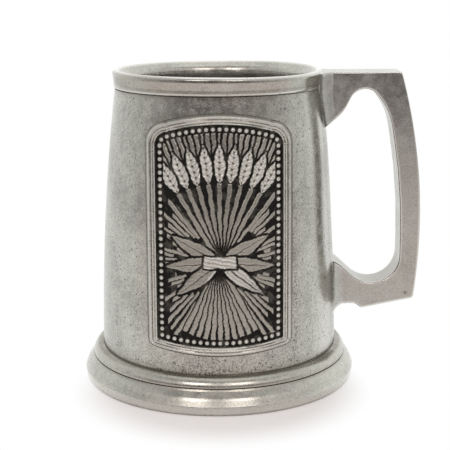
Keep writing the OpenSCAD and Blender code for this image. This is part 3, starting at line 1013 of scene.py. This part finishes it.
def plaque_ends(x):
    """Heights of the plaque's lower and upper edge, x away from its middle."""
    low = PLAQUE_Z + SOLE_R - arch_height(x, SOLE_R, CORNER_R)
    return low, PLAQUE_TOP - CROWN_R + arch_height(x, CROWN_R, SHOULDER_R)


def edge_depth(x, z):
    """How far a point of the front view lies inside the plaque's outline."""
    top = arch_depth(x, z - (PLAQUE_TOP - CROWN_R), CROWN_R, SHOULDER_R)
    low = arch_depth(x, (PLAQUE_Z + SOLE_R) - z, SOLE_R, CORNER_R)
    return np.minimum(top, low)


def from_tie(x, z, angle):
    """Distances from the sheaf's tie: ahead, at an angle from upright, and sideways from that line."""
    up = z - TIE_Z
    return up * math.cos(angle) - x * math.sin(angle), x * math.cos(angle) + up * math.sin(angle)


def blade_shape(x, z, angle, start, length, width):
    """A pointed blade that leaves the sheaf's tie at an angle from upright, as wide as a sine of its length.

    Returns how far a point lies inside it, and its places along it from 0 to 1 and across it from -1 to 1.
    """
    ahead, side = from_tie(x, z, angle)
    ahead = (ahead - start) / length
    span = width / 2.0 * np.sin(math.pi * np.clip(ahead, 0.0, 1.0) ** 0.8)
    inside = np.where((ahead > 0.0) & (ahead < 1.0), span - np.abs(side), -1.0)
    return inside, ahead, side / np.maximum(span, 0.2)


def strip_shape(x, z, angle, start, end, width):
    """How far a point lies inside a straight strip that points away from the tie at an angle."""
    ahead, side = from_tie(x, z, angle)
    return np.minimum(width / 2.0 - np.abs(side), np.minimum(ahead - start, end - ahead))


def raised(inside, bevel=0.35):
    """0 outside a shape and 1 inside it, with a soft bevel across its edge."""
    return smooth_step(-bevel, bevel, inside)


def bead_row(x, z):
    """A row of round beads that follows the outline at a fixed depth, each half a ball."""
    across = np.linspace(-PLAQUE_HALF, PLAQUE_HALF, 801)
    low, top = plaque_ends(across)
    rim = np.concatenate([np.stack([across, top], -1), np.stack([across, low], -1)[::-1]])
    rim = filled(rim, True, 0.3)
    ahead = np.roll(rim, -1, 0) - np.roll(rim, 1, 0)
    ahead = ahead / np.maximum(np.hypot(*ahead.T), 1e-9)[:, None]
    inset = rim + BEAD_DEPTH * np.stack([ahead[:, 1], -ahead[:, 0]], -1)
    inset = inset[edge_depth(inset[:, 0], inset[:, 1]) > BEAD_DEPTH - 0.05]
    centres = resampled(inset, int(np.hypot(*np.diff(inset, axis=0).T).sum() / BEAD_SPACING))
    nearest = np.full(x.shape, 9.0)
    for bead_x, bead_z in centres:
        nearest = np.minimum(nearest, np.hypot(x - bead_x, z - bead_z))
    return np.sqrt(np.clip(1.0 - (nearest / BEAD_R) ** 2, 0.0, 1.0))


def chance(number, seed):
    """A repeatable scattered value from 0 to 1 for each whole number."""
    return np.abs(np.sin(number * 12.9898 + seed) * 4375.85) % 1.0


def ray_lift(x, z, field):
    """Rough rays that fan out from the tie to both sides, each with a width and ends of its own.

    Even sectors round the tie are numbered, and the number draws the sector's width and ends.
    """
    up = z - TIE_Z
    turn = np.arctan2(x, up)
    out = np.hypot(x, up)
    place = turn * RAY_COUNT / (2.0 * math.pi)
    index = np.floor(place)
    aside = np.abs(place - index - 0.5) * 2.0 * math.pi * out / RAY_COUNT
    half = 0.2 + 0.012 * out + 0.3 * chance(index, 0.0)
    near_end = out - 9.0 - 9.0 * chance(index, 2.0)
    far_end = field - 3.0 - 5.0 * chance(index, 4.0) ** 3
    fan = np.minimum(np.abs(turn) - math.radians(37.0), math.radians(152.0) - np.abs(turn)) * out
    inside = np.minimum(np.minimum(half - aside, near_end), np.minimum(far_end, fan))
    return raised(inside, 0.25)


def laid_over(relief, inside, lift, margin=0.9, bevel=0.35):
    """Adds a shape to the relief, with a dark margin cut round it."""
    relief = np.minimum(relief, 1.0 - raised(inside + margin))
    return np.maximum(relief, raised(inside, bevel) * lift)


def sheaf_relief(x, z, field):
    """The field's design, from 0 to 1: rays, stalks, stems, leaves, ears and a tie, each laid over the last.

    Bearded ears have grains, a cosine along them, on both sides of a groove. Leaves are domed and veined.
    """
    relief = 0.75 * ray_lift(x, z, field)
    fan = np.radians(EAR_FAN) * np.linspace(-1.0, 1.0, EAR_COUNT)
    for angle in fan:
        for lean in BEARD_LEANS:
            beard = strip_shape(x, z, angle + lean, BEARD_FROM, BEARD_TO - 20.0 * abs(lean), BEARD_W)
            relief = np.maximum(relief, 0.75 * raised(beard, 0.25))
        stalk = strip_shape(x, z, angle, 0.0, STALK_L, STALK_W)
        relief = laid_over(relief, stalk, 0.9, 0.7)
    for angle in math.pi + np.radians(STEM_FAN) * np.linspace(-1.0, 1.0, STEM_COUNT):
        stem = strip_shape(x, z, angle, 0.0, STEM_L, STEM_W)
        relief = laid_over(relief, stem, 0.9, 0.5)
    for angle in np.radians(LEAF_TURNS):
        inside, _, side = blade_shape(x, z, angle, 0.0, LEAF_L, LEAF_W)
        dome = 0.7 + 0.3 * np.sqrt(np.clip(1.0 - side ** 2, 0.0, 1.0))
        veins = 0.7 * bell(side * 6.0) + 0.5 * bell((np.abs(side) - 0.52) * 7.0)
        relief = laid_over(relief, inside, dome * (1.0 - veins), 1.0)
    for angle in fan:
        inside, ahead, side = blade_shape(x, z, angle, STALK_L - 1.1, EAR_L, EAR_W)
        grains = 0.5 + 0.5 * np.cos(2.0 * math.pi * (ahead * 7.0 - 0.6 * np.abs(side)))
        groove = bell(side * 5.0)
        relief = laid_over(relief, inside, (0.5 + 0.5 * grains ** 0.6) * (1.0 - 0.45 * groove), 0.8, 0.4)
    up = z - TIE_Z
    tie = np.minimum(TIE_HALF[0] - np.abs(x), TIE_HALF[1] - np.abs(up))
    strands = 0.75 + 0.25 * np.cos(2.0 * math.pi * (up / 1.5 + 0.12 * x))
    return laid_over(relief, tie, strands, 0.7, 0.5)


def plaque_relief(x, z):
    """Height over the drum, dirt, painted shadow and wear of the plaque's front, from its front view.

    A sloping edge and a plain band with two cut lines follow the outline, with a row of beads inside them.
    Sines bend the field's design a little and roughen the casting. Dirt fills what lies low, a painted
    shadow line runs round the outline, and wear rubs what stands high.
    """
    depth = edge_depth(x, z)
    field = depth - SLOPE_W - BAND_W
    wavy_x = x + 0.12 * np.sin(1.1 * z + 1.3 * np.sin(0.8 * x)) + 0.06 * np.sin(3.7 * z + x)
    wavy_z = z + 0.12 * np.sin(1.2 * x + 1.1 * np.sin(0.9 * z)) + 0.06 * np.sin(4.1 * x - z)
    relief = sheaf_relief(wavy_x, wavy_z, field) * raised(field - 2.9, 0.3)
    relief = np.maximum(relief, 0.8 * bead_row(x, z))
    band = raised(-field, 0.4)
    incised = bell(field + BAND_W * 0.3, INCISED_W) + bell(field + BAND_W * 0.68, INCISED_W)
    relief = np.maximum(relief, band * (1.0 - 0.5 * incised))

    slope = smooth_step(0.0, SLOPE_W, depth)
    height = PLAQUE_FOOT + slope * (PLAQUE_GROUND - PLAQUE_FOOT) + slope * PLAQUE_RELIEF * relief
    cast = np.sin(2.9 * x + 1.7 * np.sin(2.3 * z)) * np.sin(3.3 * z + 1.9 * np.sin(2.7 * x))
    height = height + 0.04 * cast * slope
    uneven = np.sin(0.5 * x + 1.3 * np.sin(0.31 * z)) * np.sin(0.43 * z + 1.1 * np.sin(0.37 * x))
    grime = (1.0 - smooth_step(0.25, 0.62, relief)) * smooth_step(SLOPE_W, SLOPE_W + 1.0, depth)
    # A painted shadow line runs round the plaque's outline
    grime = np.maximum(grime * (0.96 + 0.06 * uneven), 0.7 * bell(depth, 0.55))
    rise = np.hypot(*np.gradient(relief)) / (2.0 * PLAQUE_HALF / x.shape[1])
    edges = np.clip(rise / 1.5, 0.0, 1.0) * smooth_step(0.5, 0.7, relief)
    tops = smooth_step(0.6, 0.8, relief)
    return height, grime, np.maximum(tops * (0.65 - 0.45 * band), edges)


def on_drum(x, z, height):
    """Stands a front view on the drum's front, height over its surface, and turns it round the axis."""
    radius = drum_at(z) + height
    y = -np.sqrt(radius ** 2 - x ** 2)
    turned_x = x * math.cos(PLAQUE_TURN) - y * math.sin(PLAQUE_TURN)
    turned_y = x * math.sin(PLAQUE_TURN) + y * math.cos(PLAQUE_TURN)
    return np.stack([turned_x, turned_y, z], -1)


def plate_grid(cols, rows):
    """A grid of the plaque's front view: columns from side to side, rows from its lower to upper edge."""
    x = PLAQUE_HALF * np.linspace(-1.0, 1.0, cols)[None, :]
    share = np.linspace(0.0, 1.0, rows)[:, None]
    low, high = plaque_ends(x)
    return np.broadcast_to(x, (rows, cols)), low * (1.0 - share) + high * share


def rim_of(rows, cols):
    """Point numbers round the edge of a grid, in order."""
    numbers = np.arange(rows * cols).reshape(rows, cols)
    return np.concatenate([numbers[0, :-1], numbers[:-1, -1], numbers[-1, :0:-1], numbers[:0:-1, 0]])


def make_plaque():
    """The plaque: a finely shaped front, a plain back of coarser cells, and a strip between their rims."""
    coarse_cols, coarse_rows, finer = 28, 46, 8
    cols, rows = coarse_cols * finer + 1, coarse_rows * finer + 1
    x, z = plate_grid(cols, rows)
    height, grime, wear = plaque_relief(x, z)
    front = on_drum(x, z, height).reshape(-1, 3)
    back_x, back_z = plate_grid(coarse_cols + 1, coarse_rows + 1)
    back = on_drum(back_x, back_z, PLAQUE_BACK).reshape(-1, 3)
    front_rim = rim_of(rows, cols)
    back_rim = rim_of(coarse_rows + 1, coarse_cols + 1) + len(front)
    here = np.arange(len(front_rim))
    nearest = ((here + finer // 2) // finer) % len(back_rim)
    strip = np.stack([front_rim[(here + 1) % len(front_rim)], front_rim, back_rim[nearest]], -1)
    turn = np.arange(len(back_rim))
    middle = front_rim[turn * finer + finer // 2]
    fans = np.stack([middle, back_rim, np.roll(back_rim, -1)], -1)
    quads = np.concatenate([
        grid_quads(rows, cols),
        grid_quads(coarse_rows + 1, coarse_cols + 1, start=len(front))[:, ::-1],
    ])
    hidden = np.zeros(len(back))
    add_piece("front_plaque_casting", np.concatenate([front, back]), quads, np.concatenate([strip, fans]),
              BLACKENED, "blackened_pewter", "front_plaque", 70.0,
              grime=np.concatenate([grime.ravel(), hidden]),
              wear=np.concatenate([wear.ravel(), hidden]))


# Camera, light and stage

CAMERA_PLACE = (2.78, -453.0, 164.4)
CAMERA_PITCH = math.radians(12.76)
CAMERA_ROLL = math.radians(-0.28)
CAMERA_FOCAL_PIXELS = 1116.0
IMAGE_PIXELS = 450.0
SENSOR = 36.0

# Colours and levels of the light, and the stage's sizes in metres
WHITE = (1.0, 1.0, 1.0, 1.0)
WARM_FRONT = (1.0, 0.91, 0.905, 1.0)
FLOOR_FRONT = (0.88, 0.80, 0.795, 1.0)
PAPER = (0.93, 0.893, 0.883, 1.0)
LAMP_WARMTH = (1.0, 0.92, 0.90)
LAMP_LIFT = math.radians(29.0)
LAMP_DISTANCE = 0.95
LAMP_SIDE = 0.31
# Each lamp's name, bearing from the front in degrees and level
LAMPS = (("left_softbox", -21.0, 2.8), ("right_softbox", 19.5, 2.3))
ROOM_LEVEL = 0.87
TENT_LEVEL = 0.89
TENT_RISE = 0.74
TENT_LIMIT = 1.17
TENT_LEAN = 0.07
FRONT_GLOW = 0.87
GLOW_FROM = (0.19, 0.34)
GLOW_TO = (0.56, 0.78)
ROOF_GLOW = 0.5
ROOF_FROM = (0.8, 1.0)
STAGE_REACH = 0.95
STAGE_SIDES = 96
SHADOW_MIDDLE = (0.001, -0.026, 0.0)
SHADOW_EDGE = (0.039, 0.062)
FLOOR_WARMTH = 12.0
FLOOR_SHINE = 0.12
FLOOR_DIM = 0.97
DIM_FROM = 0.50
DIM_MIDDLE = 0.7
DIM_FRONT = 0.6


def make_camera():
    """The camera, at its place, pitched down and rolled a little, with its focal length given in pixels."""
    data = bpy.data.cameras.new("camera")
    data.sensor_width = SENSOR
    data.lens = CAMERA_FOCAL_PIXELS / IMAGE_PIXELS * SENSOR
    camera = placed("camera", data)
    tilt = Matrix.Rotation(math.pi / 2.0 - CAMERA_PITCH, 4, "X") @ Matrix.Rotation(CAMERA_ROLL, 4, "Z")
    camera.matrix_world = Matrix.Translation([c * MM for c in CAMERA_PLACE]) @ tilt
    bpy.context.scene.camera = camera


def make_softbox(name, bearing, radiance):
    """A square lamp at a bearing from the front, lifted over the table, that faces the tankard's middle."""
    data = bpy.data.lights.new(name, "AREA")
    data.shape = "RECTANGLE"
    data.size = LAMP_SIDE
    data.size_y = LAMP_SIDE
    data.energy = radiance * math.pi * LAMP_SIDE * LAMP_SIDE
    data.color = LAMP_WARMTH
    lamp = placed(name, data)
    turn = Matrix.Rotation(bearing, 4, "Z") @ Matrix.Rotation(math.pi / 2.0 - LAMP_LIFT, 4, "X")
    middle = Matrix.Translation((0.0, 0.0, 0.5 * MUG_TOP * MM))
    lamp.matrix_world = middle @ turn @ Matrix.Translation((0.0, 0.0, LAMP_DISTANCE))
    lamp.visible_camera = False


def make_world():
    """A white tent all round, which the metal sees brighter behind than at its open, slightly warm front.

    A band of glow stands over the table in front, and the roof is brighter again. Seen directly, or through
    glass, the tent is plain white.
    """
    world = bpy.data.worlds.new("tent")
    bpy.context.scene.world = world
    start = cleared(world)
    seen = start.node("ShaderNodeLightPath", {}, {}, "Is Camera Ray")
    glossy = seen.beside("Is Glossy Ray")
    clear = seen.beside("Is Transmission Ray")
    direction = start.node("ShaderNodeTexCoord", {}, {}, "Generated")
    across = start.node("ShaderNodeSeparateXYZ", {}, {0: direction})
    behind = across.beside(1)
    up = across.beside(2)
    tent = start.math("MINIMUM", TENT_LEVEL + behind * TENT_RISE, TENT_LIMIT) + across * TENT_LEAN
    band = up.above(*GLOW_FROM) * (1.0 - up.above(*GLOW_TO))
    glow = band * start.math("MAXIMUM", behind * -1.0, 0.0)
    tent = tent + glow * FRONT_GLOW + up.above(*ROOF_FROM) * ROOF_GLOW
    level = ROOM_LEVEL + glossy * (tent - ROOM_LEVEL)
    level = level + (1.0 - level) * (seen + clear).clamped()
    colour = mixed(start, (glossy * behind * -1.0).clamped(), WHITE, WARM_FRONT)
    shader = start.node("ShaderNodeBackground", {}, {"Color": colour, "Strength": level})
    start.node("ShaderNodeOutputWorld", {}, {"Surface": shader})


def floor_paper():
    """Pale paper that keeps the shadow under the tankard and fades to plain white round it.

    The metal sees the white a little brighter, warm in front, and dimmer towards the floor's edge.
    """
    material = bpy.data.materials.new("floor_paper")
    start = cleared(material)
    place = start.node("ShaderNodeTexCoord", {}, {}, "Object")
    place = start.node("ShaderNodeVectorMath", {"operation": "SUBTRACT"}, {0: place, 1: SHADOW_MIDDLE})
    distance = start.node("ShaderNodeVectorMath", {"operation": "LENGTH"}, {0: place}, 1)
    behind = start.node("ShaderNodeSeparateXYZ", {}, {0: place}, 1)
    seen = start.node("ShaderNodeLightPath", {}, {}, "Is Camera Ray")
    glossy = seen.beside("Is Glossy Ray")
    paper = start.node("ShaderNodeBsdfDiffuse", {}, {"Color": PAPER})
    colour = mixed(start, (glossy * behind * -FLOOR_WARMTH).clamped(), WHITE, FLOOR_FRONT)
    dim = distance.above(DIM_FROM, STAGE_REACH) * (DIM_MIDDLE - behind * DIM_FRONT).clamped()
    shine = 1.0 + glossy * (FLOOR_SHINE - dim * FLOOR_DIM)
    colour = start.node("ShaderNodeVectorMath", {"operation": "SCALE"}, {0: colour, "Scale": shine})
    white = start.node("ShaderNodeEmission", {}, {"Color": colour})
    fade = distance.above(*SHADOW_EDGE) * (seen + glossy).clamped()
    shader = start.node("ShaderNodeMixShader", {}, {0: fade, 1: paper, 2: white})
    start.node("ShaderNodeOutputMaterial", {}, {"Surface": shader})
    return material


def make_stage():
    """The floor: a flat disc of paper round the tankard."""
    angle = np.linspace(0.0, 2.0 * math.pi, STAGE_SIDES, endpoint=False)
    ring = np.stack([STAGE_REACH * np.cos(angle), STAGE_REACH * np.sin(angle), 0.0 * angle], -1)
    mesh = bpy.data.meshes.new("floor")
    mesh.from_pydata(ring.tolist(), [], [list(range(STAGE_SIDES))])
    mesh.materials.append(floor_paper())
    floor = placed("floor", mesh)


make_camera()
make_drum()
make_rim()
make_floor()
make_collar()
make_foot()
make_handle()
make_plaque()
make_stage()
make_world()
for lamp_name, lamp_bearing, lamp_level in LAMPS:
    make_softbox(lamp_name, math.radians(lamp_bearing), lamp_level)
bpy.context.scene.view_settings.view_transform = "Standard"
